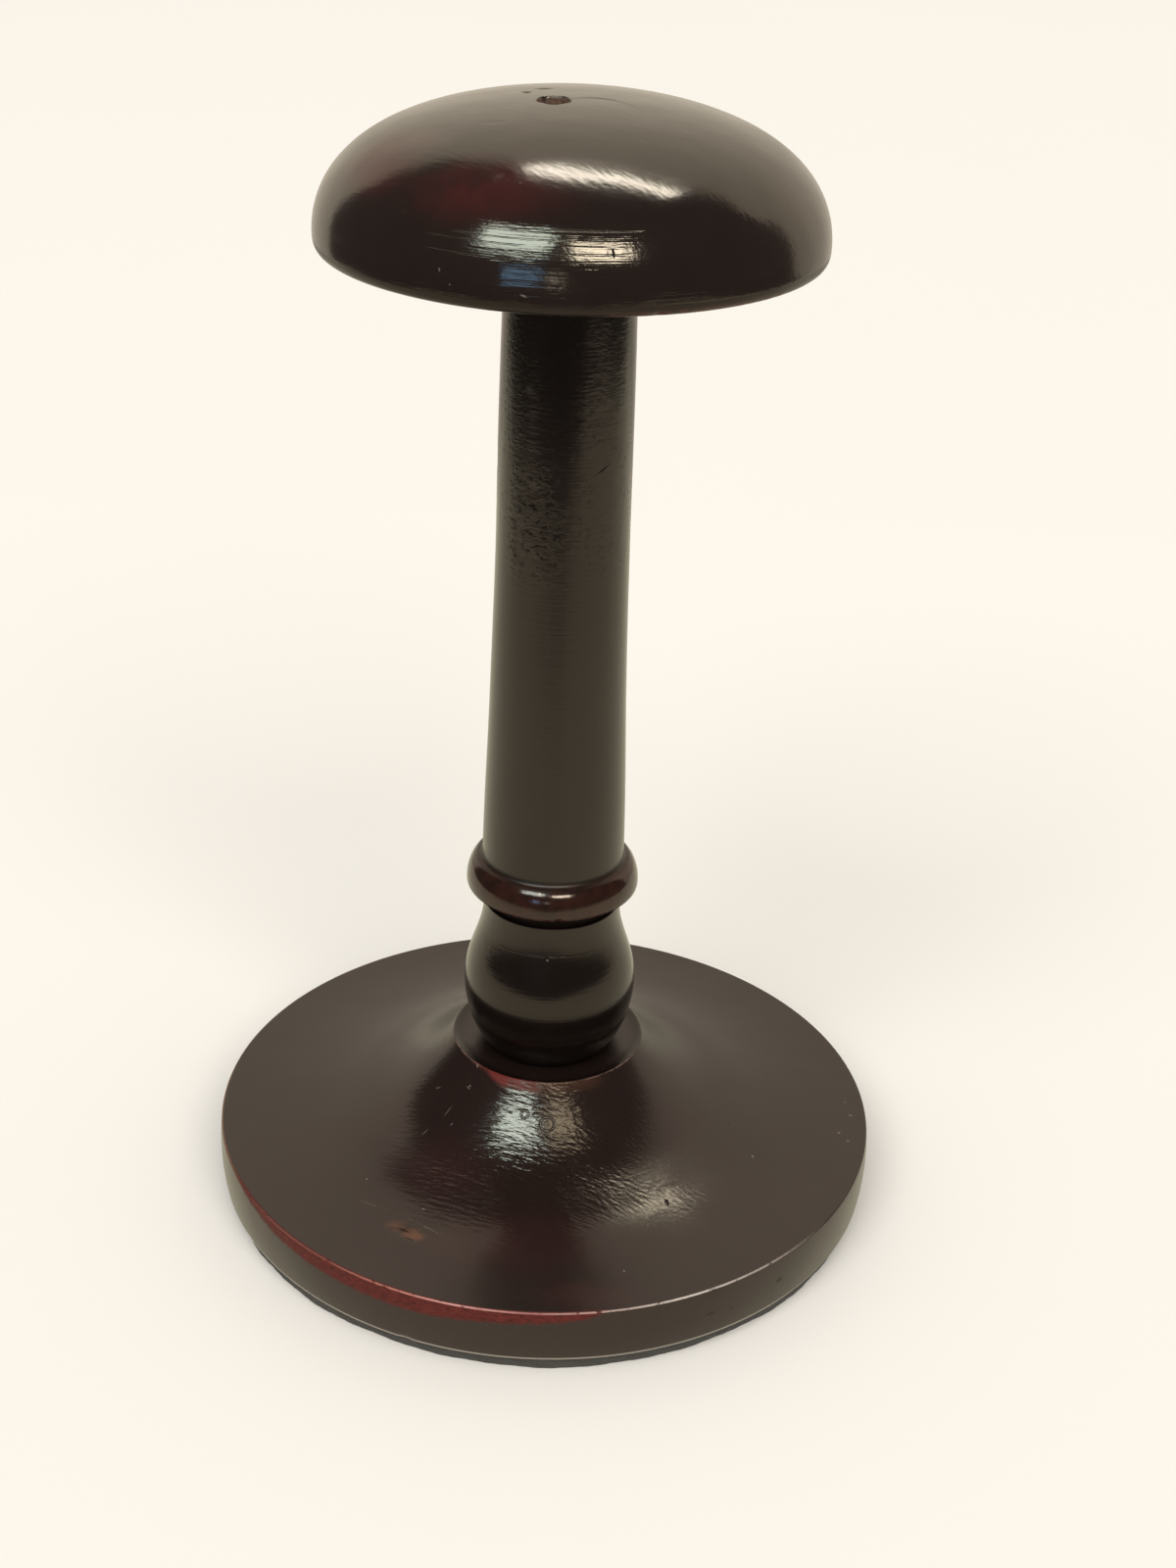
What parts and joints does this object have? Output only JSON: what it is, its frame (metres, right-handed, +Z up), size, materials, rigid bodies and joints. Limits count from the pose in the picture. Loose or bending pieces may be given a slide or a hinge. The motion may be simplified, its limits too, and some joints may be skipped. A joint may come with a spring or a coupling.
{
  "type": "hat stand",
  "caption": "Turned hat stand in dark lacquered wood: domed cap on a tapered column with ring and vase, round base with a swept boss, felt pad",
  "frame": {"origin": "centre of the underside of the felt pad, on the surface that the stand rests on", "axes": "+Z is up along the turning axis; -Y faces the viewer of the picture; +X is to the viewer's right"},
  "size_m": [0.1656, 0.1656, 0.2706],
  "materials": {
    "lacquered_wood": "glossy dark lacquer with a red undertone, worn at the edges",
    "shaft_wood": "satin dark lacquer, scuffed",
    "plain_wood": "bare hardwood",
    "felt": "matt dark grey wool felt"
  },
  "bodies": {
    "root": {"base_pad": "felt", "base": "lacquered_wood", "base_wedge": "plain_wood", "column": "shaft_wood", "cap": "lacquered_wood"}
  },
  "joints": []
}
